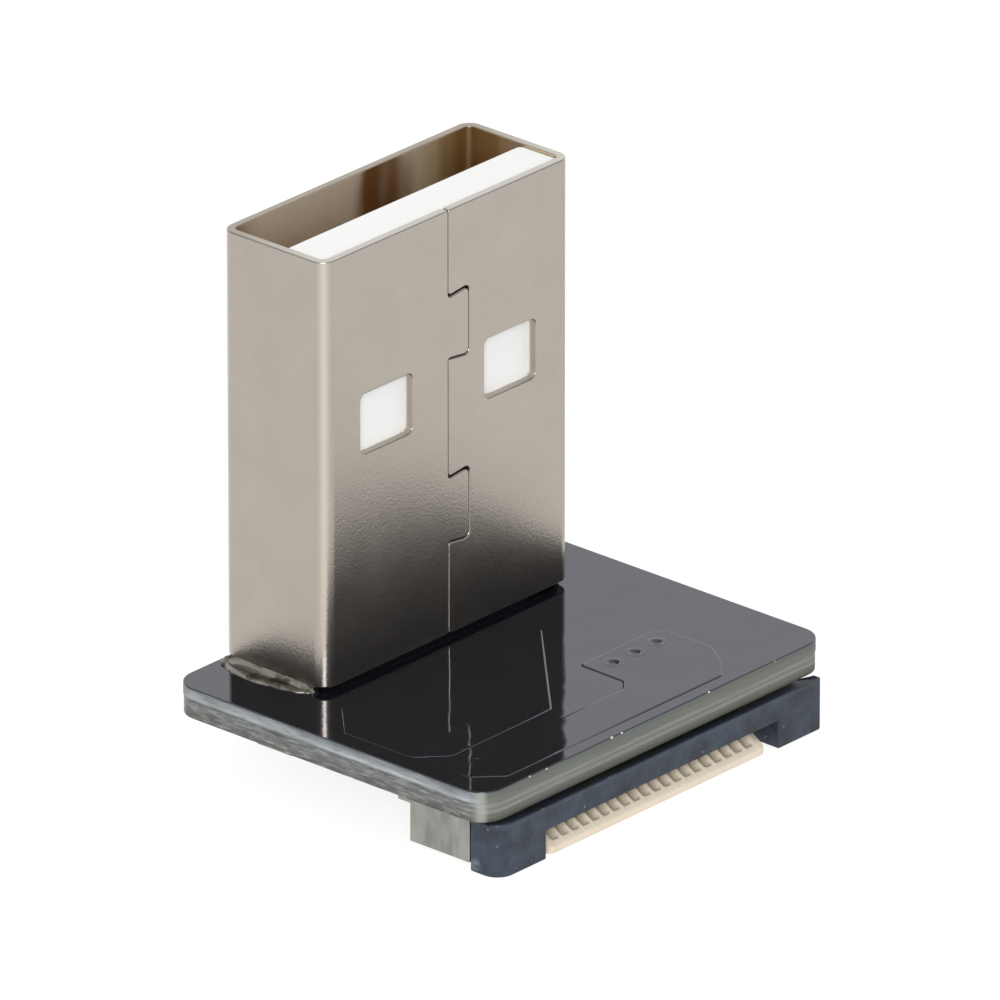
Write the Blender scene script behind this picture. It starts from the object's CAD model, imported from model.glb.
# USB-A plug on an adapter board for a flat cable: what each piece looks like.
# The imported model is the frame: metres, the plug's mouth towards +Z, the cable towards -Y.

import math
import random

import bmesh
import bpy
from mathutils import Matrix, Vector, noise


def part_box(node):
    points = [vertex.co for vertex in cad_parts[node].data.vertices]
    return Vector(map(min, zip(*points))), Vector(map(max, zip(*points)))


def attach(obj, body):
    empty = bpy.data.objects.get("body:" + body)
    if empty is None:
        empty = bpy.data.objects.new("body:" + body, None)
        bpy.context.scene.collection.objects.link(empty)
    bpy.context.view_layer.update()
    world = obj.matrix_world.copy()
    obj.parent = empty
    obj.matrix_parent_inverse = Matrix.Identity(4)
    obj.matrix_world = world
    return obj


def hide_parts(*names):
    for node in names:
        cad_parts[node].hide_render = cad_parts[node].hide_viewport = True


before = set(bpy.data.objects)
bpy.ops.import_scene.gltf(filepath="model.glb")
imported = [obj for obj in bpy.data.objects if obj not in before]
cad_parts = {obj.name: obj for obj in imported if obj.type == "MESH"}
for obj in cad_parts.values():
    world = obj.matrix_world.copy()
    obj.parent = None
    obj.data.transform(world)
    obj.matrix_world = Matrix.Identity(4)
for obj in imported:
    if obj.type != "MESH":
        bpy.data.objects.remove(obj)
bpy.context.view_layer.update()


# Circuit board
# Woven glass set in epoxy, with a glossy black mask cured over both faces and their copper.
# Its front and back were routed. Its two sides were scored and snapped, so torn glass shows there.

MM = 0.001
same_point = 0.0005
on_line = 0.00001
flat_limit = 0.001
blend_angle = math.radians(50)
sharp_angle = math.radians(40)
board_left, board_front, board_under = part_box("circuit_board")[0] / MM
board_right, board_back, board_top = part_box("circuit_board")[1] / MM
board_corner = 0.9
mask_thickness = 0.06
mask_edge_round = 0.03
laminate_joint = 2.66
laminate_edge_round = 0.014
snapped_side_setback = 0.03
under_mask_cover = 0.012
under_mask_setback = 0.08

plug_middle = 4.575
leg_middle = 5.85
leg_slot = (0.3, 1.25)
leg_slot_corner = 0.2
contact_places = (-3.5, -1.0, 1.0, 3.5)
contact_along = 4.15
pin_hole_radius = 0.45
via_places = (2.14, 3.21, 4.28)
via_along = -2.915
via_radius = 0.175
via_opening_radius = 0.24
via_opening_steps = 40


def rectangle(left, right, near, far):
    return [(left, near), (right, near), (right, far), (left, far)]


def circle(across, along, radius, steps=24):
    turns = [2 * math.pi * step / steps for step in range(steps)]
    return [(across + radius * math.cos(turn), along + radius * math.sin(turn)) for turn in turns]


def round_outline(corners, radius, steps=8):
    """A closed outline with arcs for corners. The radius is one number, or one for each corner."""
    radii = radius if isinstance(radius, list) else [radius] * len(corners)
    points = []
    for index, place in enumerate(corners):
        corner = Vector(place)
        to_last = Vector(corners[index - 1]) - corner
        to_next = Vector(corners[(index + 1) % len(corners)]) - corner
        half_angle = to_last.angle(to_next) / 2
        reach = min(radii[index] / math.tan(half_angle), to_last.length / 2, to_next.length / 2)
        arc = reach * math.tan(half_angle)
        inward = (to_last.normalized() + to_next.normalized()).normalized()
        centre = corner + inward * (arc / math.sin(half_angle))
        start = corner + to_last.normalized() * reach - centre
        end = corner + to_next.normalized() * reach - centre
        first = math.atan2(start.y, start.x)
        turn = (math.atan2(end.y, end.x) - first + math.pi) % (2 * math.pi) - math.pi
        for step in range(steps + 1):
            angle = first + turn * step / steps
            points.append((centre.x + arc * math.cos(angle), centre.y + arc * math.sin(angle)))
    return points


def leg_slot_outline(way):
    return round_outline(rectangle(leg_middle * way - leg_slot[0], leg_middle * way + leg_slot[0],
                                   plug_middle - leg_slot[1], plug_middle + leg_slot[1]), leg_slot_corner)


def add_object(name, data):
    holder = bpy.data.objects.new(name, data)
    bpy.context.scene.collection.objects.link(holder)
    return holder


def take_mesh(holder):
    """The mesh of an object as its settings and modifiers make it."""
    bpy.context.view_layer.update()
    return bpy.data.meshes.new_from_object(holder.evaluated_get(bpy.context.evaluated_depsgraph_get()))


def finish_mesh(name, build):
    """The mesh of what was built, with all its faces turned outward."""
    bmesh.ops.recalc_face_normals(build, faces=build.faces)
    mesh = bpy.data.meshes.new(name)
    build.to_mesh(mesh)
    build.free()
    return mesh


def cut_plate(name, outlines, bottom, top, edge_round):
    """A plate in millimetres, cut to the first outline and pierced by the others, with round edges."""
    drawing = bpy.data.curves.new(name, "CURVE")
    drawing.dimensions = "2D"
    drawing.fill_mode = "BOTH"
    drawing.extrude = (top - bottom) / 2 - edge_round
    drawing.bevel_depth = edge_round
    drawing.bevel_resolution = 3
    drawing.offset = -edge_round
    for outline in outlines:
        spline = drawing.splines.new("POLY")
        spline.points.add(len(outline) - 1)
        spline.use_cyclic_u = True
        for point, (across, along) in zip(spline.points, outline):
            point.co = (across, along, 0, 1)
    holder = add_object(name, drawing)
    mesh = take_mesh(holder)
    bpy.data.objects.remove(holder)
    mesh.transform(Matrix.Translation((0, 0, (top + bottom) / 2)))
    return mesh


def join_meshes(name, meshes):
    """One mesh of several, with points that meet joined and all faces turned outward."""
    build = bmesh.new()
    for mesh in meshes:
        build.from_mesh(mesh)
        bpy.data.meshes.remove(mesh)
    bmesh.ops.remove_doubles(build, verts=build.verts, dist=same_point)
    return finish_mesh(name, build)


def rank_in_plate(face):
    """What a face is in a plate: 2 its top or underside, 1 its side, 0 the rounding between them."""
    upright = abs(face.normal.z)
    return 2 if upright > 1 - flat_limit else (1 if upright < flat_limit else 0)


def keep_flats_flat(mesh, ranks):
    """A face gives its normal up to its own edge, and one of lower rank blends into it there."""
    around = [[] for vertex in mesh.vertices]
    for face in mesh.polygons:
        for corner in face.vertices:
            around[corner].append(face)
    same_turn = math.cos(blend_angle)
    normals = []
    for face in mesh.polygons:
        for corner in face.vertices:
            near = [other for other in around[corner] if other.normal.dot(face.normal) > same_turn]
            best = max([ranks[other.index] for other in near], default=ranks[face.index])
            total = Vector()
            for other in near:
                if ranks[other.index] == best:
                    total += other.normal * other.area
            normals.append(total.normalized() if total.length > 0 else face.normal.copy())
    mesh.normals_split_custom_set(normals)


def place_piece(mesh, material, body, replaced):
    """Puts a mesh drawn in millimetres in the scene, to move with a body and stand for CAD nodes."""
    mesh.transform(Matrix.Scale(MM, 4))
    mesh.materials.clear()
    mesh.materials.append(material)
    mesh.shade_smooth()
    piece = add_object(mesh.name, mesh)
    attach(piece, body)
    if replaced:
        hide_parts(*replaced)
    return piece


def keep_large_faces_flat(piece):
    weighted = piece.modifiers.new("flat faces stay flat", "WEIGHTED_NORMAL")
    weighted.keep_sharp = True


def add_piece(mesh, material, body, replaced=()):
    """Adds a piece whose shading breaks at its sharp edges."""
    piece = place_piece(mesh, material, body, replaced)
    mesh.set_sharp_from_angle(angle=sharp_angle)
    keep_large_faces_flat(piece)


def add_plate(mesh, material, body, replaced=(), ranks=None):
    """Adds a piece cut from plate or sheet, whose flats stay flat up to its rounded edges."""
    place_piece(mesh, material, body, replaced)
    keep_flats_flat(mesh, ranks or [rank_in_plate(face) for face in mesh.polygons])


def linear(hex_colour):
    """An sRGB hex colour as the linear numbers that a shader takes."""
    parts = [int(hex_colour[index:index + 2], 16) / 255 for index in (1, 3, 5)]
    light = [part / 12.92 if part <= 0.04045 else ((part + 0.055) / 1.055) ** 2.4 for part in parts]
    return (*light, 1.0)


def set_inputs(tree, node, inputs):
    """An input takes a value, a hex colour, an output of another node, or a node for its first output."""
    for name, value in inputs.items():
        if isinstance(value, bpy.types.Node):
            value = value.outputs[0]
        if isinstance(value, bpy.types.NodeSocket):
            tree.links.new(value, node.inputs[name])
        else:
            node.inputs[name].default_value = linear(value) if isinstance(value, str) else value


def add_node(tree, kind, inputs, **settings):
    """Adds a node with its settings, and with the values and links of its inputs."""
    node = tree.nodes.new("ShaderNode" + kind)
    for name, value in settings.items():
        setattr(node, name, value)
    set_inputs(tree, node, inputs)
    return node


def new_material(name, finish):
    """A material, its surface shader with that finish, and the piece's own place in millimetres."""
    material = bpy.data.materials.new(name)
    material.use_nodes = True
    tree = material.node_tree
    surface = tree.nodes["Principled BSDF"]
    set_inputs(tree, surface, finish)
    place = add_node(tree, "TexCoord", {})
    in_millimetres = add_node(tree, "VectorMath", {
        0: place.outputs["Object"], "Scale": 1 / MM}, operation="SCALE")
    return material, tree, surface, in_millimetres


def add_grain(tree, surface, place, size, detail, roughness, strength, depth):
    """Unevenness of that size and depth in millimetres, as noise in a bump. Gives back the noise."""
    drawn = add_node(tree, "VectorMath", {0: place, 1: size}, operation="DIVIDE")
    grain = add_node(tree, "TexNoise", {
        "Vector": drawn, "Scale": 1.0, "Detail": detail, "Roughness": roughness})
    uneven = add_node(tree, "Bump", {"Height": grain, "Strength": strength, "Distance": depth * MM})
    set_inputs(tree, surface, {"Normal": uneven})
    return grain


def paint_ramp(node, stops):
    """Gives a colour ramp its stops, each a place from 0 to 1 and a colour."""
    ramp = node.color_ramp
    while len(ramp.elements) < len(stops):
        ramp.elements.new(1.0)
    for element, (share, colour) in zip(ramp.elements, stops):
        element.position = share
    for element, (share, colour) in zip(ramp.elements, stops):
        element.color = linear(colour)


def vary_light(tree, colour, place, size, roughness, darkest, lightest):
    """The colour made darker and lighter from place to place, by noise of that size in millimetres."""
    drawn = add_node(tree, "VectorMath", {0: place, 1: size}, operation="DIVIDE")
    uneven = add_node(tree, "TexNoise", {
        "Vector": drawn, "Scale": 1.0, "Detail": 2.0, "Roughness": roughness})
    light = add_node(tree, "MapRange", {
        "Value": uneven, "From Min": 0.3, "From Max": 0.7, "To Min": darkest, "To Max": lightest})
    return add_node(tree, "VectorMath", {0: colour, "Scale": light}, operation="SCALE")


# Liquid photo mask, flooded and cured: hard, black and so smooth that it mirrors what is round it,
# with a slow waviness where it flowed over the copper
mask_material, tree, surface, place = new_material("liquid_mask_glossy_black", {
    "Base Color": "#111318", "Roughness": 0.045, "IOR": 1.85, "Specular Tint": "#E8EBFF"})
add_grain(tree, surface, place, size=(2.2, 2.2, 2.2), detail=2.0, roughness=0.45, strength=0.02, depth=1.0)

# Cut laminate: routed edges are an olive grey with two pale lines where layers of cloth meet, and
# snapped edges are a smooth pale score over a torn grey break with dashes of glass in it
laminate_material, tree, surface, place = new_material("glass_epoxy_laminate_cut_edge", {
    "Roughness": 0.6, "IOR": 1.52})
routed_layers = ((2.0, "#2E2F2C"), (2.07, "#464841"), (2.15, "#5A5B52"), (2.29, "#66675F"),
                 (2.34, "#83867F"), (2.4, "#82857F"), (2.48, "#6C6F69"), (2.56, "#80837E"),
                 (2.6, "#82857F"), (2.7, "#6F726B"), (2.9, "#676B63"), (3.06, "#5B5F5C"))
snapped_layers = ((2.0, "#484846"), (2.06, "#5C5C59"), (2.2, "#686866"), (2.4, "#6C6E6B"),
                  (2.5, "#757877"), (2.58, "#696C6C"), (2.66, "#6B6F6F"), (2.71, "#989C9E"),
                  (2.75, "#B4B8BB"), (2.84, "#9A9EA1"), (2.98, "#858B91"), (3.06, "#626B71"))
split = add_node(tree, "SeparateXYZ", {"Vector": place})
depth = add_node(tree, "MapRange", {
    "Value": split.outputs["Z"], "From Min": board_under, "From Max": board_top})
routed = add_node(tree, "ValToRGB", {"Fac": depth})
snapped = add_node(tree, "ValToRGB", {"Fac": depth})
for ramp, layers in ((routed, routed_layers), (snapped, snapped_layers)):
    paint_ramp(ramp, [((height - board_under) / (board_top - board_under), colour)
                      for height, colour in layers])

# Glass bundles are about 0.7 mm long where they are torn, and 0.09 mm high
dashes = add_grain(tree, surface, place, size=(0.7, 0.7, 0.09), detail=3.0, roughness=0.55,
                   strength=0.4, depth=0.03)
pale_dashes = add_node(tree, "MapRange", {
    "Value": dashes, "From Min": 0.5, "From Max": 0.68, "To Max": 0.6})
dark_flecks = add_node(tree, "MapRange", {
    "Value": dashes, "From Min": 0.46, "From Max": 0.34, "To Max": 0.45})
score_blur = 0.02
under_score = add_node(tree, "MapRange", {
    "Value": split.outputs["Z"], "From Min": laminate_joint - score_blur,
    "From Max": laminate_joint + score_blur, "To Min": 1.0, "To Max": 0.6})
pale_share = add_node(tree, "Math", {0: pale_dashes, 1: under_score}, operation="MULTIPLY")
dark_share = add_node(tree, "Math", {0: dark_flecks, 1: under_score}, operation="MULTIPLY")
with_pale = add_node(tree, "MixRGB", {"Fac": pale_share, "Color1": snapped, "Color2": "#AEAFAC"})
with_dark = add_node(tree, "MixRGB", {"Fac": dark_share, "Color1": with_pale, "Color2": "#4A4844"})

# Its tone changes over patches that are 1.4 mm long and 0.22 mm high
snapped_patched = vary_light(tree, with_dark, place, size=(1.4, 1.4, 0.22), roughness=0.6,
                             darkest=0.72, lightest=1.2)

# The cutter leaves streaks along the routed edges, about 2 mm long and 0.04 mm apart
routed_streaked = vary_light(tree, routed, place, size=(2.0, 2.0, 0.04), roughness=0.5,
                             darkest=0.86, lightest=1.16)

# The side faces are torn and the front and back are routed, with a pale chip on the corners between
facing = add_node(tree, "TexCoord", {})
facing_split = add_node(tree, "SeparateXYZ", {"Vector": facing.outputs["Normal"]})
sideways = add_node(tree, "Math", {0: facing_split.outputs["X"]}, operation="ABSOLUTE")
torn_side = add_node(tree, "MapRange", {"Value": sideways, "From Min": 0.75, "From Max": 0.97})
edge_colour = add_node(tree, "MixRGB", {
    "Fac": torn_side, "Color1": routed_streaked, "Color2": snapped_patched})
chipped = add_node(tree, "MapRange", {
    "Value": sideways, "From Min": 0.55, "From Max": 0.75, "To Max": 0.55
}, interpolation_type="SMOOTHSTEP")
not_side = add_node(tree, "MapRange", {
    "Value": sideways, "From Min": 0.8, "From Max": 0.97, "To Min": 1.0, "To Max": 0.0
}, interpolation_type="SMOOTHSTEP")
chip_share = add_node(tree, "Math", {0: chipped, 1: not_side}, operation="MULTIPLY")
edge_chipped = add_node(tree, "MixRGB", {"Fac": chip_share, "Color1": edge_colour, "Color2": "#B4B6B1"})
set_inputs(tree, surface, {"Base Color": edge_chipped})

board_holes = [circle(across, contact_along, pin_hole_radius) for across in contact_places]
board_holes += [leg_slot_outline(-1), leg_slot_outline(1)]
via_holes = [circle(across, via_along, via_radius) for across in via_places]
via_openings = [circle(across, via_along, via_opening_radius, via_opening_steps) for across in via_places]


def board_plan(side_setback=0.0, end_setback=0.0):
    return round_outline(rectangle(board_left + side_setback, board_right - side_setback,
                                   board_front + end_setback, board_back - end_setback), board_corner)


upper_laminate = cut_plate("upper_laminate", [board_plan(), *board_holes, *via_holes], laminate_joint,
                           board_top - mask_thickness / 2, laminate_edge_round)
lower_laminate = cut_plate("lower_laminate",
                           [board_plan(snapped_side_setback), *board_holes, *via_holes],
                           board_under + under_mask_cover, laminate_joint, laminate_edge_round)

# The torn ends of the glass bundles stand out from the snapped sides
bundle_count = 70
bundle_lengths = (0.15, 0.5)
bundle_heights = (0.02, 0.045)
bundle_tilt = 0.12
bundle_share_out = (0.4, 0.95)
bundle_lowest = board_under + 0.12
bundle_highest = laminate_joint - 0.06
random.seed(4)
bundles = bmesh.new()
for way in (-1, 1):
    side = board_left if way < 0 else board_right
    for index in range(bundle_count):
        length = random.uniform(*bundle_lengths)
        height = random.uniform(*bundle_heights)
        along = random.uniform(board_front + board_corner, board_back - board_corner)
        level = random.uniform(bundle_lowest, bundle_highest)
        proud = random.uniform(*bundle_share_out) * snapped_side_setback
        tilt = Matrix.Rotation(random.uniform(-bundle_tilt, bundle_tilt), 3, "X")
        dash = bmesh.ops.create_icosphere(bundles, subdivisions=2, radius=1.0)["verts"]
        bmesh.ops.scale(bundles, vec=(snapped_side_setback, length / 2, height), verts=dash)
        bmesh.ops.rotate(bundles, verts=dash, matrix=tilt)
        bmesh.ops.translate(bundles, verts=dash,
                            vec=(side - way * (2 * snapped_side_setback - proud), along, level))
bundle_mesh = finish_mesh("torn_bundles", bundles)

# Along its front edge the mask is nicked, and the pale laminate shows
nick_places = ((-6.2, 3.07, 0.07), (-5.38, 3.06, 0.08), (-2.2, 3.07, 0.09), (-1.72, 3.07, 0.08),
               (-1.05, 2.66, 0.05), (2.55, 3.07, 0.08), (5.8, 3.07, 0.06), (6.1, 3.06, 0.05),
               (0.6, 3.07, 0.05), (4.3, 3.07, 0.05), (-3.6, 3.07, 0.05))
nick_flatness = (1.0, 0.5, 0.45)
nick_sunk_in = 0.024
nick_sunk_down = 0.004
nicks = bmesh.new()
for across, height, size in nick_places:
    nick = bmesh.ops.create_icosphere(nicks, subdivisions=2, radius=size)["verts"]
    bmesh.ops.scale(nicks, vec=nick_flatness, verts=nick)
    bmesh.ops.translate(nicks, verts=nick,
                        vec=(across, board_front + nick_sunk_in, height - nick_sunk_down))
nick_mesh = finish_mesh("mask_nicks", nicks)
nick_material, tree, surface, place = new_material("bare_laminate_in_a_nick", {
    "Base Color": "#C9CBC4", "Roughness": 0.6, "IOR": 1.52})

laminate_mesh = join_meshes("board_laminate", [upper_laminate, lower_laminate, bundle_mesh])
add_plate(laminate_mesh, laminate_material, "board", ["circuit_board"])
add_piece(nick_mesh, nick_material, "board")
under_plan = board_plan(under_mask_setback, under_mask_setback)
for name, outlines, low in (
        ("board_mask_upper", [board_plan(), *board_holes, *via_openings], board_top - mask_thickness),
        ("board_mask_under", [under_plan, *board_holes, *via_holes], board_under)):
    mask = join_meshes(name, [cut_plate("mask", outlines, low, low + mask_thickness, mask_edge_round)])
    add_plate(mask, mask_material, "board")


# Copper under the mask
# Etched copper, 0.035 mm thick, which shows only as raised shapes because the mask flows over it.
# Two pours end in the plain lines that the photo shows, and each of the vias has a ring of its own.

copper_rise = 0.035
copper_slope = 0.08
copper_corner = 0.16
fade_start = -4.5
fade_end = 1.0
fade_steps = 22
faded_rise = 0.4

front_pour = [(1.275, -2.205), (4.75, -2.175), (5.225, -2.45), (5.225, -4.5), (4.7, -5.3),
              (3.75, -6.2), (-6.7, -6.2), (-7.6, -5.3), (-7.6, -4.9), (-7.2, -4.5), (0.8, -4.5),
              (1.25, -4.1)]
left_pour = [(2.545, 0.545), (-1.885, -3.815), (-6.7, -3.83), (-7.7, -2.9), (-7.72, -0.025),
             (-6.2, 1.45), (-5.4, 1.9), (2.545, 1.9)]


def ease(value):
    """From 0 to 1 with a soft start and a soft end."""
    share = min(1.0, max(0.0, value))
    return share * share * (3 - 2 * share)


def cut_into_strips(build, lines):
    """Parts the faces where they cross these places along X, so that they can bend there."""
    for line in lines:
        bmesh.ops.bisect_plane(build, geom=build.verts[:] + build.edges[:] + build.faces[:],
                               dist=on_line, plane_co=(line, 0, 0), plane_no=(1, 0, 0))


def raise_copper(name, outlines, base, rise, slope):
    """A plateau with sloping edges, its foot sunk, and lower where the mask over it is thicker."""
    mesh = join_meshes(name, [cut_plate(name, outlines, base - 2 * slope, base + slope, slope)])
    build = bmesh.new()
    build.from_mesh(mesh)
    cut_into_strips(build, [fade_start + (fade_end - fade_start) * step / fade_steps
                            for step in range(fade_steps + 1)])
    for vertex in build.verts:
        share = ease((vertex.co.x - fade_start) / (fade_end - fade_start))
        height = rise * (faded_rise + (1 - faded_rise) * share)
        vertex.co.z = base + (vertex.co.z - base) * height / slope
    build.to_mesh(mesh)
    build.free()
    return mesh


for name, outlines in (
        ("copper_pour_front", [round_outline(front_pour, copper_corner), *via_openings]),
        ("copper_pour_left", [round_outline(left_pour, copper_corner)])):
    add_plate(raise_copper(name, outlines, board_top, copper_rise, copper_slope),
              mask_material, "board")

# The mask fills each via to a shallow dimple, with a low swell round it over the copper's ring
dimple_profile = ((0.0, -0.06), (0.05, -0.058), (0.1, -0.047), (0.14, -0.029), (0.17, -0.012),
                  (0.2, 0.0), (0.23, 0.007), (0.26, 0.009), (0.3, 0.007), (0.34, 0.003),
                  (0.38, 0.0006), (0.42, -0.003), (0.42, -0.06))
dimples = bmesh.new()
for across in via_places:
    rows = []
    for reach, height in dimple_profile[1:]:
        rows.append([dimples.verts.new((*point, board_top + copper_rise + height))
                     for point in circle(across, via_along, reach, via_opening_steps)])
    middle = dimples.verts.new((across, via_along, board_top + copper_rise + dimple_profile[0][1]))
    for index in range(via_opening_steps):
        following = (index + 1) % via_opening_steps
        dimples.faces.new((middle, rows[0][index], rows[0][following]))
        for inner, outer in zip(rows, rows[1:]):
            dimples.faces.new((inner[index], outer[index], outer[following], inner[following]))
    dimples.faces.new(rows[-1][::-1])
add_piece(finish_mesh("via_dimples", dimples), mask_material, "board")


# Plug shell
# Steel sheet, punched flat with its windows, legs and the stepped edges of its seam, then folded
# round the plug and nickel plated. The two edges only meet: the seam isn't welded.

shell_half_width = 6.0
shell_half_depth = 2.25
shell_corner = 0.5
sheet_thickness = 0.3
sheet_edge_round = 0.055
shell_top = 18.3
shell_foot = 3.1
shell_bottom = 3.3
leg_tip = 0.5
leg_half_width = 1.1
leg_point = 0.35
foot_half_width = 1.7
window_half_width = 1.25
window_from_middle = 3.0
window_top = 13.14
window_low = 11.04
window_corner = 0.25
sheet_corner = 0.1
corner_steps = 5
seam_step = 1.0
seam_half_gap_upright = 0.012
seam_half_gap_under_lobe = 0.018
seam_half_gap_over_lobe = 0.036
seam_lobe_flare = 0.06
seam_lobe_round = 0.22
seam_lobes = ((6.5, 8.9), (13.0, 15.3))
fold_steps = 8

# The sheet's middle line, from the seam round the plug and back to it
middle_half_width = shell_half_width - sheet_thickness / 2
middle_half_depth = shell_half_depth - sheet_thickness / 2
middle_corner = shell_corner - sheet_thickness / 2
wide_run = 2 * (middle_half_width - middle_corner)
narrow_run = 2 * (middle_half_depth - middle_corner)
bend_run = middle_corner * math.pi / 2
sheet_length = 2 * (wide_run + narrow_run) + 4 * bend_run
bends = [(wide_run / 2, -90), (wide_run / 2 + bend_run + narrow_run, 0),
         (3 * wide_run / 2 + 2 * bend_run + narrow_run, 90),
         (3 * wide_run / 2 + 3 * bend_run + 2 * narrow_run, 180)]
bend_middles = [(1, -1), (1, 1), (-1, 1), (-1, -1)]
right_side = wide_run / 2 + bend_run + narrow_run / 2
left_side = sheet_length - right_side


def fold(run, proud):
    """Where a point of the flat sheet comes to lie: run along the sheet, proud of its middle line."""
    for (start, heading), (side, end) in zip(bends, bend_middles):
        if start <= run <= start + bend_run:
            angle = math.radians(heading + 90 * (run - start) / bend_run)
            reach = middle_corner + proud
            return (side * (middle_half_width - middle_corner) + reach * math.cos(angle),
                    end * (middle_half_depth - middle_corner) + reach * math.sin(angle))
    if run < bends[0][0]:
        return run, -middle_half_depth - proud
    if run < bends[1][0]:
        return middle_half_width + proud, run - right_side
    if run < bends[2][0]:
        return sheet_length / 2 - run, middle_half_depth + proud
    if run < bends[3][0]:
        return -middle_half_width - proud, left_side - run
    return run - sheet_length, -middle_half_depth - proud


def leg_outline(middle):
    corners = [(-foot_half_width, shell_bottom), (-foot_half_width, shell_foot),
               (-leg_half_width, shell_foot), (-leg_half_width, leg_tip + leg_point),
               (-leg_half_width + leg_point, leg_tip), (leg_half_width - leg_point, leg_tip),
               (leg_half_width, leg_tip + leg_point), (leg_half_width, shell_foot),
               (foot_half_width, shell_foot), (foot_half_width, shell_bottom)]
    return [(middle + along, height) for along, height in corners]


def seam_outline(start, way):
    """One edge of the seam from its foot to the rim, on one side of the middle of its gap."""
    across = start + seam_half_gap_upright * way
    corners = [(across, shell_bottom)]
    for low, high in seam_lobes:
        low = low - seam_half_gap_under_lobe * way
        high = high + seam_half_gap_over_lobe * way
        corners += [(across, low + seam_lobe_flare), (across + seam_step, low - seam_lobe_flare),
                    (across + seam_step, high + seam_lobe_flare), (across, high - seam_lobe_flare)]
    return corners + [(across, shell_top)]


sheet_corners = [*leg_outline(right_side), *leg_outline(left_side), *seam_outline(sheet_length, -1),
                 *seam_outline(0, 1)[::-1]]

# The corners of the two legs come first, then those of the seam's two edges, ten for each.
# On each edge the third, fourth, seventh and eighth from the foot are the lobes' own
sheet_radii = [sheet_corner] * len(sheet_corners)
leg_corners = 20
edge_corners = 10
for lobe_corner in (2, 3, 6, 7):
    sheet_radii[leg_corners + lobe_corner] = seam_lobe_round
    sheet_radii[leg_corners + 2 * edge_corners - 1 - lobe_corner] = seam_lobe_round
sheet_outlines = [round_outline(sheet_corners, sheet_radii, corner_steps)]
for middle in (window_from_middle, sheet_length / 2 - window_from_middle,
               sheet_length / 2 + window_from_middle, sheet_length - window_from_middle):
    sheet_outlines.append(round_outline(rectangle(middle - window_half_width, middle + window_half_width,
                                                  window_low, window_top), window_corner))
flat_sheet = cut_plate("flat_sheet", sheet_outlines, -sheet_thickness / 2, sheet_thickness / 2,
                       sheet_edge_round)

build = bmesh.new()
build.from_mesh(flat_sheet)
bpy.data.meshes.remove(flat_sheet)
bmesh.ops.remove_doubles(build, verts=build.verts, dist=same_point)
cut_into_strips(build, [start + bend_run * step / fold_steps for start, heading in bends
                        for step in range(fold_steps + 1)])
build.faces.ensure_lookup_table()
build.normal_update()
face_ranks = []
for face in build.faces:
    run = face.calc_center_median().x
    in_bend = any(start < run < start + bend_run for start, heading in bends)
    face_ranks.append(min(rank_in_plate(face), 1) if in_bend else rank_in_plate(face))
for vertex in build.verts:
    run, height, proud = vertex.co
    across, along = fold(run, proud)
    vertex.co = (across, plug_middle + along, height)
folded_sheet = finish_mesh("plug_shell_folded", build)

# Satin nickel plate on rolled steel: a warm grey metal that blurs what it reflects, with the fine
# pebbled grain of the sheet under it. Inside, where the plate is thin, it is browner and duller.
# The grain is drawn 0.09 mm wide, as fine as the picture can hold. The real one is finer
shell_material, tree, surface, place = new_material("nickel_plate_satin", {"Metallic": 1.0})
pebbles = add_grain(tree, surface, place, size=(0.09, 0.09, 0.09), detail=1.0, roughness=0.5,
                    strength=0.5, depth=0.01)
cloud_width = 1.6
clouds = add_node(tree, "TexNoise", {
    "Vector": place, "Scale": 1 / cloud_width, "Detail": 3.0, "Roughness": 0.6})
dulled = add_node(tree, "MapRange", {
    "Value": clouds, "From Min": 0.3, "From Max": 0.7, "To Min": 0.277, "To Max": 0.3})
speckled = add_node(tree, "MixRGB", {"Fac": 0.4, "Color1": clouds, "Color2": pebbles})
outer_tint = add_node(tree, "MixRGB", {"Fac": speckled, "Color1": "#A39C93", "Color2": "#B9B1A7"})
shell_place = add_node(tree, "SeparateXYZ", {"Vector": place})

# The stains inside are bands from rim to foot. Noise 2.63 mm wide and 10 mm high makes them uneven
drawn_down = add_node(tree, "VectorMath", {0: place, 1: (2.63, 2.63, 10)}, operation="DIVIDE")
stains = add_node(tree, "TexNoise", {
    "Vector": drawn_down, "Scale": 1.0, "Detail": 1.5, "Roughness": 0.45})
stained = add_node(tree, "MapRange", {
    "Value": stains, "From Min": 0.36, "From Max": 0.64, "To Min": -0.06, "To Max": 0.06
}, interpolation_type="SMOOTHSTEP")
along_width = add_node(tree, "MapRange", {
    "Value": shell_place.outputs["X"], "From Min": -shell_half_width, "From Max": shell_half_width})
stain_place = add_node(tree, "Math", {0: along_width, 1: stained}, operation="ADD")
inner_tint = add_node(tree, "ValToRGB", {"Fac": stain_place})
inner_tint.color_ramp.interpolation = "EASE"
paint_ramp(inner_tint, ((0.0, "#A89070"), (0.14, "#F2E4D0"), (0.55, "#FBF0E0"), (0.62, "#9A6E44"),
                        (0.65, "#9A6E44"), (0.72, "#FFF8E8"), (0.84, "#FFF6E2"), (0.95, "#E0CBA8"),
                        (1.0, "#BFA57F")))

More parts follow.
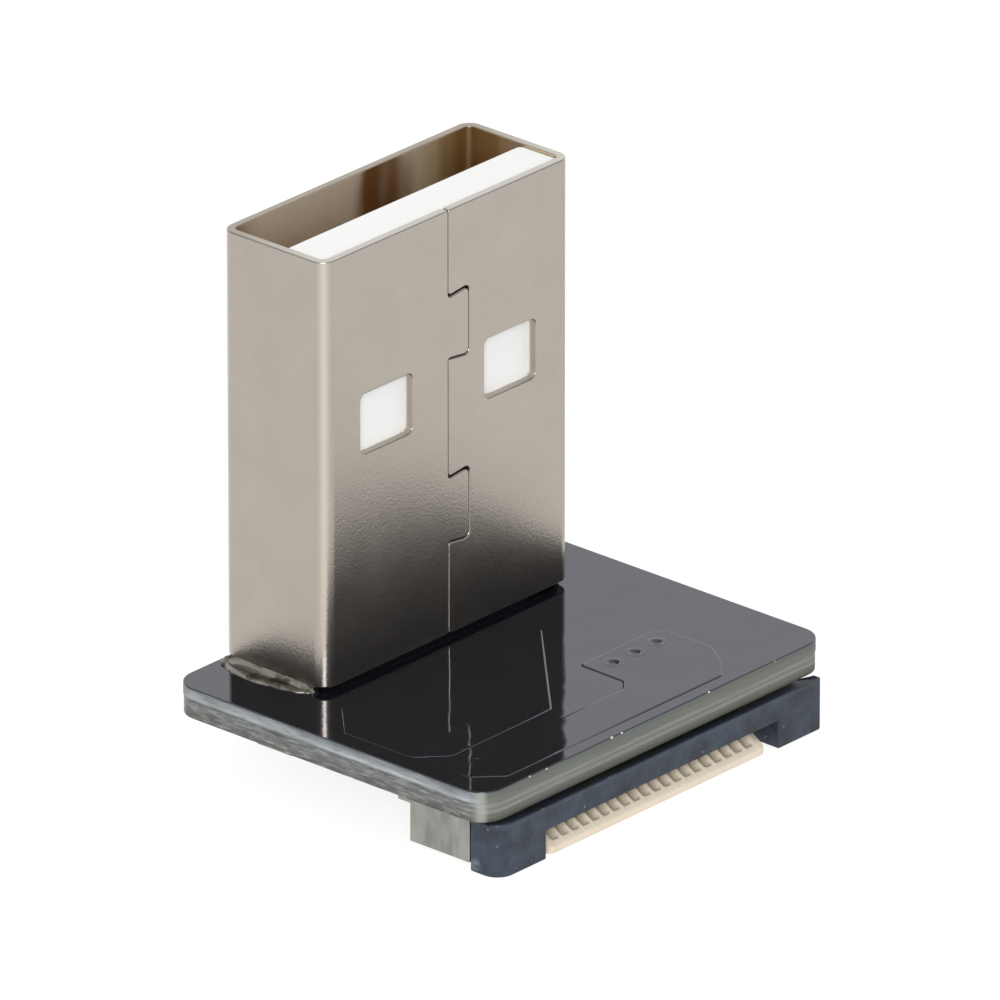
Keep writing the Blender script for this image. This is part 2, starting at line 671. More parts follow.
# What lies closer to the plug's middle than the sheet's own middle line, less a margin, is inside.
# What lies near the outside both in depth and in width is on a bend
inside_margin = 0.1
bend_depth = shell_corner * (1 - math.sqrt(0.5))
from_middle = add_node(tree, "Math", {0: shell_place.outputs["Y"], 1: plug_middle}, operation="SUBTRACT")
within = []
near_outside = []
for way_out, half_size in ((from_middle, shell_half_depth), (shell_place.outputs["X"], shell_half_width)):
    distance = add_node(tree, "Math", {0: way_out}, operation="ABSOLUTE")
    within.append(add_node(tree, "Math", {
        0: distance, 1: half_size - sheet_thickness / 2 - inside_margin}, operation="LESS_THAN"))
    near_outside.append(add_node(tree, "MapRange", {
        "Value": distance, "From Min": half_size - shell_corner, "From Max": half_size - bend_depth
    }, interpolation_type="SMOOTHSTEP"))
inside = add_node(tree, "Math", {0: within[0], 1: within[1]}, operation="MULTIPLY")
on_bend = add_node(tree, "Math", {0: near_outside[0], 1: near_outside[1]}, operation="MULTIPLY")
plain_tint = add_node(tree, "MixRGB", {"Fac": inside, "Color1": outer_tint, "Color2": inner_tint})

# The bends on the left are rubbed bright, those on the right are dull, and the sheared rim is greyer
on_left = add_node(tree, "Math", {0: shell_place.outputs["X"], 1: 0.0}, operation="LESS_THAN")
left_bend = add_node(tree, "Math", {0: on_bend, 1: on_left}, operation="MULTIPLY")
left_bend_middle = add_node(tree, "Math", {0: left_bend, 1: 3.0}, operation="POWER")
right_bend = add_node(tree, "Math", {0: on_bend, 1: left_bend}, operation="SUBTRACT")
rubbed_tint = add_node(tree, "MixRGB", {
    "Fac": left_bend_middle, "Color1": plain_tint, "Color2": "#CBC1B6"})
dulled_tint = add_node(tree, "MixRGB", {"Fac": right_bend, "Color1": rubbed_tint, "Color2": "#8D8E8F"})
rim_blend = (0.75 * sheet_edge_round, 0.25 * sheet_edge_round)
on_rim = add_node(tree, "MapRange", {
    "Value": shell_place.outputs["Z"], "From Min": shell_top - rim_blend[0],
    "From Max": shell_top - rim_blend[1]})
rim_change = 1.5
far_rim = add_node(tree, "MapRange", {
    "Value": from_middle, "From Min": -rim_change, "From Max": rim_change})
rim_tint = add_node(tree, "MixRGB", {"Fac": far_rim, "Color1": "#CBC7BF", "Color2": "#AAA194"})
tint = add_node(tree, "MixRGB", {"Fac": on_rim, "Color1": dulled_tint, "Color2": rim_tint})
dullness = add_node(tree, "MapRange", {"Value": inside, "To Min": dulled, "To Max": 0.36})
set_inputs(tree, surface, {"Base Color": tint, "Roughness": dullness})

add_plate(folded_sheet, shell_material, "board", ["plug_shell"], face_ranks)


# Plug insulator
# White glass-filled polyester, moulded in one with the tongue that carries the contacts.
# The shell is folded round it, and it shows in the windows and at the mouth.

def prism(outline, low, high):
    """A closed solid in millimetres that stands on an outline in plan."""
    count = len(outline)
    points = [(across, along, height) for height in (low, high) for across, along in outline]
    sides = [(index, (index + 1) % count, (index + 1) % count + count, index + count)
             for index in range(count)]
    mesh = bpy.data.meshes.new("prism")
    mesh.from_pydata(points, [], [tuple(range(count))[::-1], tuple(range(count, 2 * count)), *sides])
    return mesh


def carve(name, solids, hollows):
    """One mesh: the solids joined to a single body, with the hollows cut out of it."""
    holders = [add_object(name, mesh) for mesh in (*solids, *hollows)]
    for index, holder in enumerate(holders[1:], start=1):
        change = holders[0].modifiers.new("carve", "BOOLEAN")
        change.operation = "UNION" if index < len(solids) else "DIFFERENCE"
        change.solver = "EXACT"
        change.object = holder
    carved = take_mesh(holders[0])
    for holder in holders:
        bpy.data.objects.remove(holder)
    for mesh in (*solids, *hollows):
        bpy.data.meshes.remove(mesh)
    carved.name = name
    return carved


same_plane = math.radians(1)
rounded_from = math.radians(30)


def soften_edges(piece, edge_round):
    """The small rounding that moulding or stamping leaves along every edge."""
    weld = piece.modifiers.new("join the faces", "WELD")
    weld.merge_threshold = same_point * MM
    flatten = piece.modifiers.new("one face for each plane", "DECIMATE")
    flatten.decimate_type = "DISSOLVE"
    flatten.angle_limit = same_plane
    edges = piece.modifiers.new("round the edges", "BEVEL")
    edges.width = edge_round * MM
    edges.segments = 3
    edges.limit_method = "ANGLE"
    edges.angle_limit = rounded_from
    edges.use_clamp_overlap = False
    edges.harden_normals = False
    keep_large_faces_flat(piece)


def finish_node(node, edge_round, material):
    """Gives a CAD node its material and its softened edges."""
    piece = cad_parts[node]
    piece.material_slots[0].material = material
    soften_edges(piece, edge_round)


def add_moulding(mesh, edge_round, material, body, node):
    """Adds a carved piece in place of a CAD node, with flat faces and softened edges."""
    soften_edges(place_piece(mesh, material, body, [node]), edge_round)


# Moulded white polyester: clean white, with the faint satin of a sparked mould
insulator_material, tree, surface, place = new_material("white_polyester_moulded", {
    "Base Color": "#FAFAF9", "Roughness": 0.45, "IOR": 1.55})
add_grain(tree, surface, place, size=(0.09, 0.09, 0.09), detail=2.0, roughness=0.5,
          strength=0.2, depth=0.004)

moulding_gap = 0.03
insulator_half_width = shell_half_width - sheet_thickness - moulding_gap
insulator_front = plug_middle - shell_half_depth + sheet_thickness + moulding_gap
insulator_back = 2 * plug_middle - insulator_front
insulator_block_top = 6.4
insulator_corner = 0.2
tongue_face = 4.275
tongue_tip = 18.2
base_standoff = 0.6
base_inset = 0.7
contact_slot_gap = 0.02
contact_depth = 0.25
contact_numbers = (1, 2, 3, 4)
insulator_edge_round = 0.04

# What cuts into a piece starts this far outside it
clear_of_piece = 1.0

# The block stands on a narrower base, so there is a dark gap under the shell's edge
solids = [prism(round_outline(rectangle(-insulator_half_width, insulator_half_width, insulator_front, far),
                              insulator_corner), board_top + base_standoff, top)
          for far, top in ((insulator_back, insulator_block_top), (tongue_face, tongue_tip))]
solids.append(prism(rectangle(base_inset - insulator_half_width, insulator_half_width - base_inset,
                              insulator_front + base_inset, insulator_back - base_inset),
                    board_top, board_top + 2 * base_standoff))
hollows = []
for number in contact_numbers:
    low, high = (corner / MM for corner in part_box(f"plug_contact_{number}"))
    hollows.append(prism(rectangle(low[0] - contact_slot_gap, high[0] + contact_slot_gap,
                                   tongue_face - contact_depth - contact_slot_gap,
                                   tongue_face + contact_slot_gap),
                         board_top - clear_of_piece, high[2] + contact_slot_gap))
add_moulding(carve("white_moulding", solids, hollows), insulator_edge_round, insulator_material,
             "board", "plug_insulator")


# Plug contacts
# Phosphor bronze strip with a flash of gold, pressed into the tongue's slots.
# Their narrow tails go down through the board and are soldered under it.

# Gold flash on rolled strip: a pale warm metal, brushed along its length by the rolling
gold_material, tree, surface, place = new_material("gold_flash_on_bronze", {
    "Base Color": "#E3C078", "Metallic": 1.0, "Roughness": 0.24})
add_grain(tree, surface, place, size=(0.05, 0.05, 2.0), detail=2.0, roughness=0.5,
          strength=0.3, depth=0.003)
contact_edge_round = 0.03
for number in contact_numbers:
    finish_node(f"plug_contact_{number}", contact_edge_round, gold_material)


# Flat cable socket: housing
# Ivory liquid crystal polymer, moulded in one piece: a comb for the contacts, a roof and two ends.
# Its contacts and anchors hold it to the board, and it doesn't touch the board itself.

# Moulded ivory polymer: matte, with a slow change of tone from the flow, and greyed in the grooves
# where the contacts have rubbed off
housing_material, tree, surface, place = new_material("ivory_polymer_moulded", {
    "Roughness": 0.55, "IOR": 1.6})
flow_width = 1.2
comb_pitch = 0.5
groove_blend = (0.08, 0.15)
greyed_from = -6.54
greyed_full = -6.4
flow = add_node(tree, "TexNoise", {
    "Vector": place, "Scale": 1 / flow_width, "Detail": 2.0, "Roughness": 0.5})
ivory = add_node(tree, "MixRGB", {"Fac": flow, "Color1": "#E6D7C0", "Color2": "#F0E4D0"})
ivory_place = add_node(tree, "SeparateXYZ", {"Vector": place})
to_groove = add_node(tree, "Math", {0: ivory_place.outputs["X"], 1: comb_pitch / 2}, operation="PINGPONG")
in_groove = add_node(tree, "MapRange", {
    "Value": to_groove, "From Min": groove_blend[0], "From Max": groove_blend[1]
}, interpolation_type="SMOOTHSTEP")
past_lip = add_node(tree, "MapRange", {
    "Value": ivory_place.outputs["Y"], "From Min": greyed_from, "From Max": greyed_full, "To Max": 0.75
}, interpolation_type="SMOOTHSTEP")
greyed = add_node(tree, "Math", {0: in_groove, 1: past_lip}, operation="MULTIPLY")
ivory_worn = add_node(tree, "MixRGB", {"Fac": greyed, "Color1": ivory, "Color2": "#B7B1A1"})
set_inputs(tree, surface, {"Base Color": ivory_worn})
add_grain(tree, surface, place, size=(0.07, 0.07, 0.07), detail=2.0, roughness=0.5,
          strength=0.25, depth=0.005)

housing_half_width = 7.7
housing_front = -5.6
housing_back = -3.1
housing_top = 1.95
cavity_half_width = 5.3
cavity_back = -3.95
cavity_low = 0.68
cavity_high = 1.52
comb_slots = 20
comb_slot_width = 0.22
comb_floor = 0.2
housing_edge_round = 0.05
slot_places = [comb_pitch * (index - (comb_slots - 1) / 2) for index in range(comb_slots)]
pocket_outline = ((6.1, -6.9), (6.92, -6.9), (6.92, -5.22), (7.17, -5.22), (7.17, -3.8), (6.1, -3.8))
pocket_low = 0.68
pocket_high = 1.32
end_undercut = 0.27
end_undercut_from = 6.95

# The block, with the room for the slider's wedge and arms, and slots for the contacts
cut_front = housing_front - clear_of_piece
cut_back = housing_back + clear_of_piece
slot_overlap = 0.05
hollows = [prism(rectangle(-cavity_half_width, cavity_half_width, cut_front, cavity_back),
                 cavity_low, cavity_high)]
for across in slot_places:
    hollows.append(prism(rectangle(across - comb_slot_width / 2, across + comb_slot_width / 2,
                                   cut_front, cut_back), comb_floor, cavity_low + slot_overlap))
for way in (-1, 1):
    outline = [(way * across, along) for across, along in pocket_outline][::way]
    hollows.append(prism(outline, pocket_low, pocket_high))
    side_low, side_high = sorted((way * end_undercut_from, way * (housing_half_width + clear_of_piece)))
    hollows.append(prism(rectangle(side_low, side_high, cut_front, cut_back),
                         -clear_of_piece, end_undercut))
block = prism(rectangle(-housing_half_width, housing_half_width, housing_front, housing_back),
              0, housing_top)
add_moulding(carve("ivory_moulding", [block], hollows), housing_edge_round, housing_material,
             "board", "cable_socket_housing")

# The comb in front of it: a lip, a ramp, and a groove for each contact that runs out in the ramp
comb_front = -6.755
comb_lip = 0.2
comb_ramp = 0.76
comb_corner = 0.25
comb_end_round = 0.05
comb_overlap = 0.05
comb_crown = 0.02
comb_row_crowding = 1.15
lip_round_reach = 0.05
lip_round_drop = 0.03
groove_end = -6.54
groove_run_out = 0.16
groove_flat = 0.085
groove_shoulder = 0.2
comb_columns = 300
comb_rows = 34


def loft(build, rings):
    """A closed skin over rings that have the same number of points."""
    rows = [[build.verts.new(point) for point in ring] for ring in rings]
    count = len(rows[0])
    for near, far in zip(rows, rows[1:]):
        for index in range(count):
            following = (index + 1) % count
            build.faces.new((near[index], near[following], far[following], far[index]))
    build.faces.new(rows[0][::-1])
    build.faces.new(rows[-1])


def comb_height(across, along):
    """The comb's top: the ramp, less the grooves."""
    climb = (along - comb_front) / comb_ramp
    ramp = comb_lip + (cavity_low - comb_lip) * min(1.0, climb)
    lip_round = lip_round_drop * (1 - min(1.0, (along - comb_front) / lip_round_reach)) ** 2
    nearest = min(abs(across - place) for place in slot_places)
    groove = 1 - ease((nearest - groove_flat) / (groove_shoulder - groove_flat))
    started = ease((along - groove_end) / groove_run_out)
    crown = comb_crown * ease((nearest - groove_shoulder) / (comb_pitch / 2 - groove_shoulder))
    groove_depth = groove * started * (ramp - comb_floor - comb_crown)
    return ramp - lip_round - (comb_crown - crown) - groove_depth


def fall_at_end(across, radius):
    """How far the comb's rounded end has fallen back there."""
    past = min(radius, max(0.0, abs(across) - cavity_half_width + radius))
    return radius - math.sqrt(radius ** 2 - past ** 2)


comb = bmesh.new()
comb_back = housing_front + comb_overlap
rings = []
for column in range(comb_columns + 1):
    across = cavity_half_width * (2 * column / comb_columns - 1)
    near = comb_front + fall_at_end(across, comb_corner)
    ring = [(across, near, 0.0)]
    for row in range(comb_rows + 1):
        along = near + (comb_back - near) * (row / comb_rows) ** comb_row_crowding
        lowered = fall_at_end(across, comb_end_round) + (comb_crown if along > housing_front else 0.0)
        ring.append((across, along, comb_height(across, along) - lowered))
    ring.append((across, comb_back, 0.0))
    rings.append(ring)
loft(comb, rings)
add_piece(finish_mesh("ivory_comb", comb), housing_material, "board")


# Flat cable socket: contacts
# Twenty stamped springs of plated bronze at 0.5 mm pitch, pressed into the comb from the back.
# Each has a lead that turns out under the board.

# Tin over bronze strip: a pale yellowish metal with a soft shine
spring_material, tree, surface, place = new_material("tin_plated_spring_bronze", {
    "Base Color": "#CBBF9F", "Metallic": 1.0, "Roughness": 0.32})
add_grain(tree, surface, place, size=(0.06, 0.06, 0.06), detail=2.0, roughness=0.5,
          strength=0.3, depth=0.003)
spring_edge_round = 0.02
for number in range(1, comb_slots + 1):
    finish_node(f"socket_contact_{number:02d}", spring_edge_round, spring_material)


# Flat cable socket: anchors
# Tinned steel plates on the housing's two ends, stamped flat, each held by a barb in the plastic.
# A foot on each is soldered to the board, and takes the pull of the cable.

# Matte tin on sheet: an even light grey with small dark scuffs
anchor_material, tree, surface, place = new_material("matte_tin_on_steel_sheet", {
    "Metallic": 1.0, "Roughness": 0.48})
scuffs = add_grain(tree, surface, place, size=(0.5, 0.5, 1.25), detail=3.0, roughness=0.5,
                   strength=0.2, depth=0.01)
scuffed = add_node(tree, "MapRange", {"Value": scuffs, "From Min": 0.35, "From Max": 0.62})
tin = add_node(tree, "MixRGB", {"Fac": scuffed, "Color1": "#8F8E88", "Color2": "#A7A6A0"})
set_inputs(tree, surface, {"Base Color": tin})
anchor_edge_round = 0.03
for side in ("left", "right"):
    finish_node(f"socket_anchor_{side}", anchor_edge_round, anchor_material)


# Solder
# Tin alloy that froze bright and a little uneven. At the shell's legs it fills the slot, lies as a
# thin lens against the shell above and as a cone below. Dark rests of flux have dried on it.

solder_overlap = 0.01
cone_steps = 32
cone_levels = 10
cone_hollow = 2.2
cone_wobble = 0.05
cone_blunt_tip = 0.7


def solder_cone(build, across, along, radii, tip_radii, height):
    """Solder drawn up a pin: wide and thin where it wets the board, hollow-flanked, round at its tip."""
    top = board_under + solder_overlap
    rings = []
    for level in range(cone_levels + 1):
        share = level / cone_levels
        spread = (1 - share) ** cone_hollow
        blunt = cone_blunt_tip if level == cone_levels else 1.0
        reach = [(tip + (foot - tip) * spread) * blunt for foot, tip in zip(radii, tip_radii)]
        depth = (height + solder_overlap) * math.sin(share * math.pi / 2)
        ring = []
        for step in range(cone_steps):
            turn = 2 * math.pi * step / cone_steps
            pattern_place = (across + math.cos(turn), along + math.sin(turn), share)
            wobble = 1 + cone_wobble * noise.noise(pattern_place)
            ring.append((across + reach[0] * math.cos(turn) * wobble,
                         along + reach[1] * math.sin(turn) * wobble, top - depth))
        rings.append(ring)
    loft(build, rings)


lens_steps = 72
lens_points = 16
lens_least_reach = 0.02
lens_full_reach = 0.45
lens_into_wall = 0.12
lens_into_board = 0.03
lens_height_at_wall = 0.08
lens_edge_height = 0.09
lens_edge_share = 1 / 2.2
climb_from = 0.55
climb_power = 2.4
lens_fold = 0.03
folds_across = 3.0
folds_along = 1.1
fold_pattern = 3.0
lens_crease = 0.025
crease_half_width = 0.09
crease_place = 0.62
crease_sway = 0.12
crease_turns = 1.9


def lens_height(inward, along, climb):
    """How high the pool stands: 0 is its outer edge and 1 the wall. It is folded and creased a little."""
    edge = lens_edge_height * math.sqrt(1 - (1 - min(1.0, inward / lens_edge_share)) ** 2)
    lift = climb * max(0.0, (inward - climb_from) / (1 - climb_from)) ** climb_power
    unevenness = noise.noise((inward * folds_across, along * folds_along, fold_pattern))
    folded = lens_fold * unevenness * ease(inward * folds_across)
    crease_middle = crease_place + crease_sway * math.sin(along * crease_turns)
    crease = lens_crease * math.exp(-((inward - crease_middle) / crease_half_width) ** 2)
    return edge + lift + folded - crease


def solder_lens(build, way, plan, climb):
    """The solder above the board: a low pool along the shell's foot, its edge round and full."""
    wall = way * shell_half_width
    in_wall = way * (shell_half_width - lens_into_wall)
    in_board = board_top - lens_into_board
    near, far = plan[0][0], plan[-1][0]
    rings = []
    for step in range(lens_steps + 1):
        along = (near + far) / 2 - (far - near) / 2 * math.cos(math.pi * step / lens_steps)
        reach = lens_least_reach
        for (start, start_reach), (end, end_reach) in zip(plan, plan[1:]):
            if start <= along <= end:
                reach = start_reach + (end_reach - start_reach) * ease((along - start) / (end - start))
        fullness = min(1.0, reach / lens_full_reach)
        ring = [(in_wall, along, in_board), (wall + way * reach, along, in_board)]
        for point in range(lens_points + 1):
            inward = point / lens_points
            ring.append((wall + way * reach * (1 - inward), along,
                         board_top + max(0.0, lens_height(inward, along, climb) * fullness)))
        ring.append((in_wall, along, board_top + (lens_height_at_wall + climb) * fullness))
        rings.append(ring)
    loft(build, rings)


def fill_hole(build, outline, low, high):
    """The solder inside a hole of the board."""
    loft(build, [[(*point, height) for point in outline] for height in (low, high)])


# Bright solder: a grey metal, shiny in places and frosted in others, and brown and dark where
# a skin of flux has dried on it
solder_material, tree, surface, place = new_material("bright_tin_solder", {"Metallic": 1.0})
frost = add_grain(tree, surface, place, size=(0.7, 0.7, 0.7), detail=3.0, roughness=0.6,
                  strength=0.4, depth=0.04)
frosted = add_node(tree, "MapRange", {
    "Value": frost, "From Min": 0.35, "From Max": 0.65, "To Min": 0.28, "To Max": 0.42})
flux = add_node(tree, "MapRange", {"Value": frost, "From Min": 0.5, "From Max": 0.62})
silver = add_node(tree, "MixRGB", {"Fac": flux, "Color1": "#8F8E87", "Color2": "#595140"})
set_inputs(tree, surface, {"Base Color": silver, "Roughness": frosted})

leg_cone_radii = (0.75, 1.7)
leg_cone_tip = (0.24, 1.15)
leg_cone_height = 0.9
left_pool = ((2.78, 0.06), (2.95, 0.24), (3.3, 0.46), (4.0, 0.6), (4.9, 0.72), (5.9, 0.64), (6.45, 0.46),
             (6.7, 0.26), (6.8, 0.08))
right_pool = ((3.0, 0.06), (3.15, 0.24), (3.5, 0.44), (4.4, 0.6), (5.4, 0.5), (5.85, 0.28), (6.0, 0.08))
for side, way, plan, climb in (("left", -1, left_pool, 0.13), ("right", 1, right_pool, 0.12)):
    build = bmesh.new()
    fill_hole(build, leg_slot_outline(way), board_under - solder_overlap, board_top + solder_overlap)
    solder_lens(build, way, plan, climb)
    solder_cone(build, leg_middle * way, plug_middle, leg_cone_radii, leg_cone_tip, leg_cone_height)
    add_piece(finish_mesh(f"solder_at_{side}_leg", build), solder_material, "board",
              [f"shell_solder_{side}"])

pin_cone_radii = (0.74, 0.74)
pin_cone_tip = (0.33, 0.2)
pin_cone_height = 0.8
pin_solder_top = board_top - 0.02
for number, across in enumerate(contact_places, start=1):
    build = bmesh.new()
    solder_cone(build, across, contact_along, pin_cone_radii, pin_cone_tip, pin_cone_height)
    fill_hole(build, circle(across, contact_along, pin_hole_radius), board_under - solder_overlap,
              pin_solder_top)
    add_piece(finish_mesh(f"solder_at_pin_{number}", build), solder_material, "board",
              [f"pin_solder_{number}"])

small_solder_edge_round = 0.03
for node in ("lead_solder", "anchor_solder_left", "anchor_solder_right"):
    finish_node(node, small_solder_edge_round, solder_material)


# Flat cable socket: slider
# Black polymer filled with glass, moulded in one piece: a bar, two ears, a wedge and two arms.
# It slides in the housing by hand and wedges the cable against the contacts.

# Glass-filled black polymer: a matte dark slate with cloudy patches, and pale rubbed specks
slider_material, tree, surface, place = new_material("black_glass_filled_polymer", {
    "Roughness": 0.58, "IOR": 1.55})
patch_width = 0.9
speck_width = 0.16
cloudy = add_node(tree, "TexNoise", {
    "Vector": place, "Scale": 1 / patch_width, "Detail": 4.0, "Roughness": 0.65})
slate = add_node(tree, "MapRange", {"Value": cloudy, "From Min": 0.35, "From Max": 0.65})
slate_colour = add_node(tree, "MixRGB", {"Fac": slate, "Color1": "#171D27", "Color2": "#34404F"})
specks = add_node(tree, "TexNoise", {
    "Vector": place, "Scale": 1 / speck_width, "Detail": 1.0, "Roughness": 0.4})
rubbed = add_node(tree, "MapRange", {"Value": specks, "From Min": 0.73, "From Max": 0.78, "To Max": 0.7})
specked = add_node(tree, "MixRGB", {"Fac": rubbed, "Color1": slate_colour, "Color2": "#8F98A1"})

# Paler towards its top, and rubbed pale at its lower left corner
slate_place = add_node(tree, "SeparateXYZ", {"Vector": place})
by_top = add_node(tree, "MapRange", {
    "Value": slate_place.outputs["Z"], "From Min": 1.6, "From Max": 1.8, "To Max": 0.3
}, interpolation_type="SMOOTHSTEP")
topped = add_node(tree, "MixRGB", {"Fac": by_top, "Color1": specked, "Color2": "#475563"})
rubbed_point = (-7.9, -5.85, 0.22)
rubbed_radii = (0.08, 0.36)
from_rub = add_node(tree, "VectorMath", {0: place, 1: rubbed_point}, operation="DISTANCE")
rub = add_node(tree, "MapRange", {
    "Value": from_rub.outputs["Value"], "From Min": rubbed_radii[0], "From Max": rubbed_radii[1],
    "To Min": 0.7, "To Max": 0.0}, interpolation_type="SMOOTHSTEP")
rub_share = add_node(tree, "Math", {0: rub, 1: slate}, operation="MULTIPLY")
rubbed_corner = add_node(tree, "MixRGB", {"Fac": rub_share, "Color1": topped, "Color2": "#98A0A8"})
set_inputs(tree, surface, {"Base Color": rubbed_corner})
add_grain(tree, surface, place, size=(0.08, 0.08, 0.08), detail=3.0, roughness=0.6,
          strength=0.45, depth=0.008)

slider_half_width = 7.9
slider_front = -6.875
slider_back = -5.625
slider_top = 1.85
slider_top_fall = 0.5
bar_under = 1.0
left_ear_inner = -5.6
right_ear_inner = 5.78
left_front_corner = 0.65
right_front_corner = 0.12
slider_corner_steps = 8
wedge_half_width = 5.2
wedge_end = -4.05
wedge_top = 1.5
wedge_taper = 0.15
wedge_root = 0.1
arm_outline = ((6.3, -5.7), (6.9, -5.7), (6.9, -4.3), (7.15, -4.3), (7.15, -3.9), (6.3, -3.9))
arm_low = 0.7
arm_high = 1.3
slider_edge_round = 0.06

# Places across the slider, from its left end to its right, and where its front stands at each
turns = [math.pi / 2 * step / slider_corner_steps for step in range(slider_corner_steps + 1)]
stations = [(-slider_half_width + left_front_corner * (1 - math.cos(turn)),
             slider_front + left_front_corner * (1 - math.sin(turn))) for turn in turns]
stations += [(left_ear_inner, slider_front), (right_ear_inner, slider_front)]
stations += [(slider_half_width - right_front_corner * (1 - math.sin(turn)),
              slider_front + right_front_corner * (1 - math.cos(turn))) for turn in turns]

# Each place has six points: low, middle and top in front, and the same behind. Between the two
# ears the lowest points are left out, because only the bar is there
build = bmesh.new()
columns = []
for across, along in stations:
    fall = slider_top_fall * ease((across + slider_half_width) / (2 * left_front_corner))
    columns.append([build.verts.new(point) for point in (
        (across, along, 0.0), (across, along, bar_under), (across, along, slider_top),
        (across, slider_back, slider_top - fall), (across, slider_back, bar_under),
        (across, slider_back, 0.0))])
bar_start = slider_corner_steps + 1
for index, (here, there) in enumerate(zip(columns, columns[1:])):
    for low, high in ((1, 2), (2, 3), (3, 4)):
        build.faces.new((here[low], there[low], there[high], here[high]))
    if index == bar_start:
        build.faces.new((here[4], there[4], there[1], here[1]))
        build.faces.new((here[0], here[1], here[4], here[5]))
        build.faces.new((there[0], there[5], there[4], there[1]))
    else:
        build.faces.new((here[0], there[0], there[1], here[1]))
        build.faces.new((here[4], there[4], there[5], here[5]))
        build.faces.new((here[5], there[5], there[0], here[0]))
build.faces.new(columns[0])
build.faces.new(columns[-1][::-1])
wedge = [(slider_back - wedge_root, bar_under), (slider_back, bar_under),
         (wedge_end, bar_under + wedge_taper), (wedge_end, wedge_top), (slider_back, wedge_top),
         (slider_back - wedge_root, wedge_top)]
loft(build, [[(across, along, height) for along, height in wedge]
             for across in (-wedge_half_width, wedge_half_width)])
for way in (-1, 1):
    loft(build, [[(way * across, along, height) for across, along in arm_outline]
                 for height in (arm_low, arm_high)])
add_moulding(finish_mesh("slider_moulding", build), slider_edge_round, slider_material,
             "slider", "cable_socket_slider")


# Floor and light
# A plain white table under soft studio light. The camera and the reflections see it as white,
# and the object's own soft shadow stays on it.

floor_half_size = 400 * MM
floor_drop = 0.01 * MM
floor_mesh = bpy.data.meshes.new("floor")
floor_plan = rectangle(-floor_half_size, floor_half_size, -floor_half_size, floor_half_size)
floor_mesh.from_pydata([(*corner, -floor_drop) for corner in floor_plan], [], [(0, 1, 2, 3)])
add_object("floor", floor_mesh)

# White paper board: pale and without any shine
floor_glow = 0.85
floor_glow_for_diffuse = 0.3
floor_material = bpy.data.materials.new("white_paper_board")
floor_material.use_nodes = True
floor_material.cycles.emission_sampling = "NONE"
tree = floor_material.node_tree
tree.nodes.clear()


def seen_directly(tree):
    """1 for rays from the camera and for rays that a shiny or clear surface sends out, else 0."""
    rays = add_node(tree, "LightPath", {})
    shiny = add_node(tree, "Math", {
        0: rays.outputs["Is Camera Ray"], 1: rays.outputs["Is Glossy Ray"]}, operation="MAXIMUM")
    return add_node(tree, "Math", {0: shiny, 1: rays.outputs["Is Transmission Ray"]}, operation="MAXIMUM")


paper = add_node(tree, "BsdfDiffuse", {"Color": "#8A8A8A"})
glow_strength = add_node(tree, "MapRange", {
    "Value": seen_directly(tree), "To Min": floor_glow_for_diffuse, "To Max": floor_glow})
glow = add_node(tree, "Emission", {"Color": "#FFFFFF", "Strength": glow_strength})
lit_paper = add_node(tree, "AddShader", {0: paper, 1: glow})
add_node(tree, "OutputMaterial", {"Surface": lit_paper})
floor_mesh.materials.append(floor_material)

# The room: white all round for the camera and an even light for matt surfaces. Shiny surfaces see
# a white backdrop behind the object, the white table and a bright ceiling, and a dim room between
sky_light = 0.8
room_light = 0.1
backdrop_way = (0.7475, 0.6643, 0.0)
world = bpy.data.worlds.new("white_studio")
bpy.context.scene.world = world
world.use_nodes = True
world.cycles.sampling_method = "NONE"
tree = world.node_tree
tree.nodes.clear()
ray_way = add_node(tree, "TexCoord", {}).outputs["Generated"]
to_backdrop = add_node(tree, "VectorMath", {0: ray_way, 1: backdrop_way}, operation="DOT_PRODUCT")
backdrop = add_node(tree, "MapRange", {
    "Value": to_backdrop.outputs["Value"], "From Min": 0.3, "From Max": 0.6, "To Min": room_light,
    "To Max": 1.0}, interpolation_type="SMOOTHSTEP")
ray_height = add_node(tree, "SeparateXYZ", {"Vector": ray_way}).outputs["Z"]
low_down = add_node(tree, "MapRange", {
    "Value": ray_height, "From Min": 0.0, "From Max": 0.1, "To Min": 1.0, "To Max": 0.0
}, interpolation_type="SMOOTHSTEP")
overhead = add_node(tree, "MapRange", {
    "Value": ray_height, "From Min": 0.43, "From Max": 0.65, "To Max": 0.85
}, interpolation_type="SMOOTHSTEP")
low_or_back = add_node(tree, "Math", {0: backdrop, 1: low_down}, operation="MAXIMUM")
room = add_node(tree, "Math", {0: low_or_back, 1: overhead}, operation="MAXIMUM")
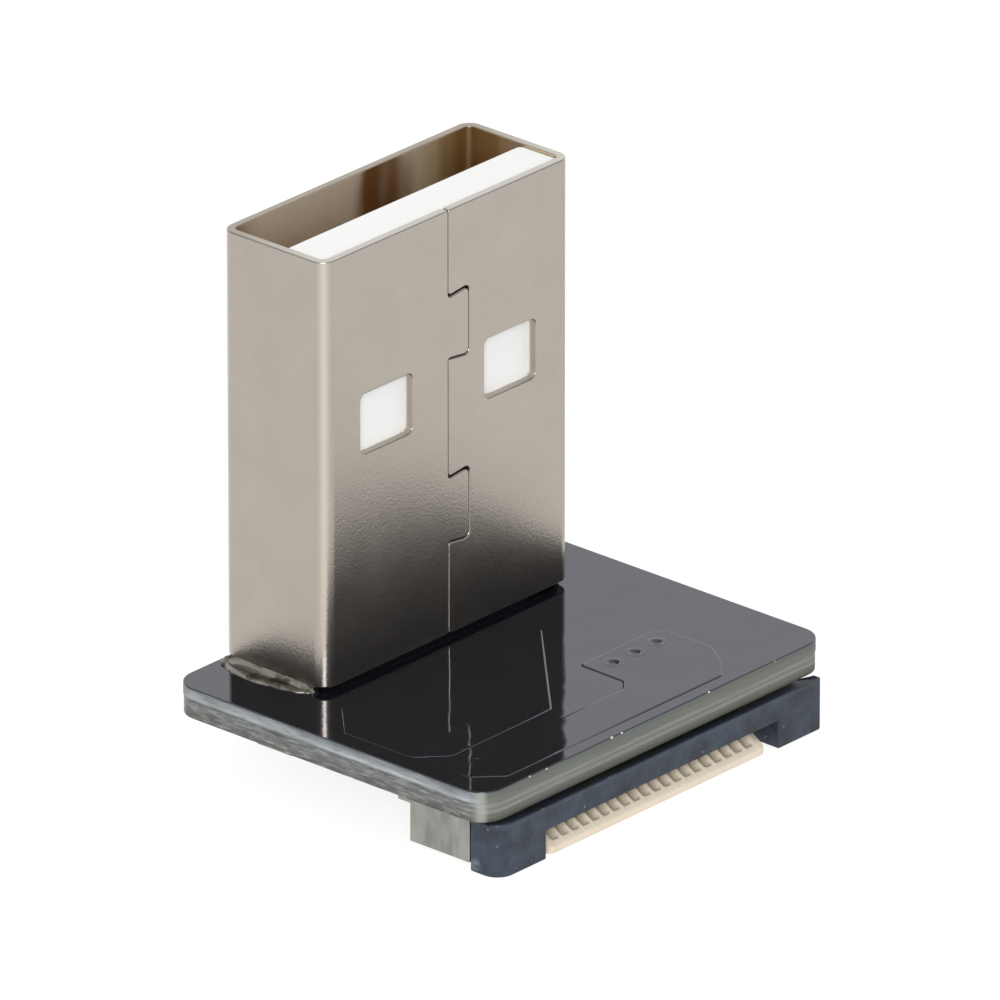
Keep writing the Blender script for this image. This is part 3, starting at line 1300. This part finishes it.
rays = add_node(tree, "LightPath", {})
for_shine = add_node(tree, "MapRange", {
    "Value": rays.outputs["Is Glossy Ray"], "To Min": sky_light, "To Max": room})
always_white = add_node(tree, "Math", {
    0: rays.outputs["Is Camera Ray"], 1: rays.outputs["Is Transmission Ray"]}, operation="MAXIMUM")
sky_strength = add_node(tree, "MapRange", {"Value": always_white, "To Min": for_shine, "To Max": 1.0})
sky = add_node(tree, "Background", {"Color": "#FFFFFF", "Strength": sky_strength})
add_node(tree, "OutputWorld", {"Surface": sky})

# One soft box beside the camera lights the faces that the photo shows
lamp_way = (-0.747, -0.664, 0.47)
lamp_distance = 250
lamp_width = 88
lamp_brightness = 12.0
soft_box = bpy.data.lights.new("soft_box", "AREA")
soft_box.size = lamp_width * MM
soft_box.energy = lamp_brightness * math.pi * (lamp_width * MM) ** 2
soft_box_holder = add_object("soft_box", soft_box)
away = Vector(lamp_way).normalized()
soft_box_holder.location = away * lamp_distance * MM
soft_box_holder.rotation_euler = away.to_track_quat("Z", "Y").to_euler()


# Camera
# A long lens well above the board, seen from the plug's front left corner as in the photo.

camera_azimuth = math.radians(-48.38)
camera_height = math.radians(23.925)
camera_distance = 701.3
lens_length = 774.6
sensor_width = 36
nearest_seen = 0.01
furthest_seen = 10
aim_right = 3.3
aim_up = 3.916
aim_point = Vector((0.06, 4.575, 3.1))
right = Vector((math.cos(camera_azimuth), math.sin(camera_azimuth), 0))
back = Vector((math.sin(camera_azimuth) * math.cos(camera_height),
               -math.cos(camera_azimuth) * math.cos(camera_height), math.sin(camera_height)))
up = back.cross(right)
camera_data = bpy.data.cameras.new("camera")
camera_data.lens = lens_length
camera_data.sensor_width = sensor_width
camera_data.clip_start = nearest_seen
camera_data.clip_end = furthest_seen
camera = add_object("camera", camera_data)
camera.matrix_world = Matrix((right, up, back)).transposed().to_4x4()
camera.location = (aim_point + right * aim_right + up * aim_up + back * camera_distance) * MM
bpy.context.scene.camera = camera
bpy.context.scene.view_settings.view_transform = "Standard"
